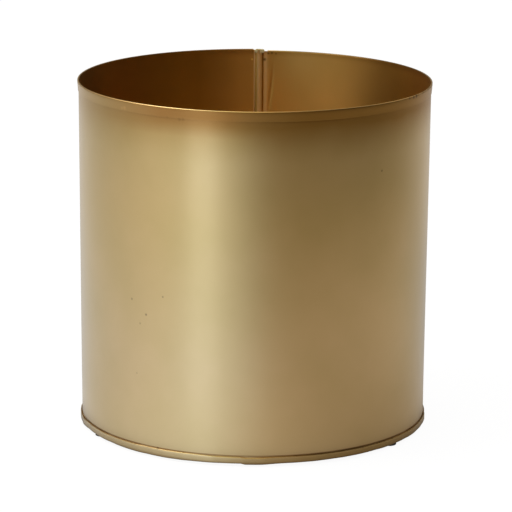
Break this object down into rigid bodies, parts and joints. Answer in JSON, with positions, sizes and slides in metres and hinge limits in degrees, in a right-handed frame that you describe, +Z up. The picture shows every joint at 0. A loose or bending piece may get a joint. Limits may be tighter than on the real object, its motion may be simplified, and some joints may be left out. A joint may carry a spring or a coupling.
{
  "type": "cachepot",
  "caption": "Round sheet-metal cachepot, open at the top, with a folded hem at the rim, a lock seam up its back, a double-seamed flat base and stick-on foot pads.",
  "frame": {"origin": "on the floor that the foot pads stand on, in the middle of the pot", "axes": "+Z up along the pot's axis, +Y towards the lock seam at the back, +X to the right as seen from the front"},
  "size_m": [0.25, 0.2499, 0.2472],
  "materials": {
    "brass_sheet": "satin, lightly brushed and lacquered antique brass",
    "solder": "dull solder, tinted by the lacquer",
    "pad_rubber": "matte black rubber",
    "pad_adhesive": "milky adhesive film"
  },
  "bodies": {
    "root": {"wall_sheet": "brass_sheet", "base_disc": "brass_sheet", "seam_solder": "solder", "foot_pad_right": "pad_rubber", "foot_pad_back": "pad_rubber", "foot_pad_left": "pad_rubber", "pad_adhesive_right": "pad_adhesive", "pad_adhesive_back": "pad_adhesive", "pad_adhesive_left": "pad_adhesive"}
  },
  "joints": []
}
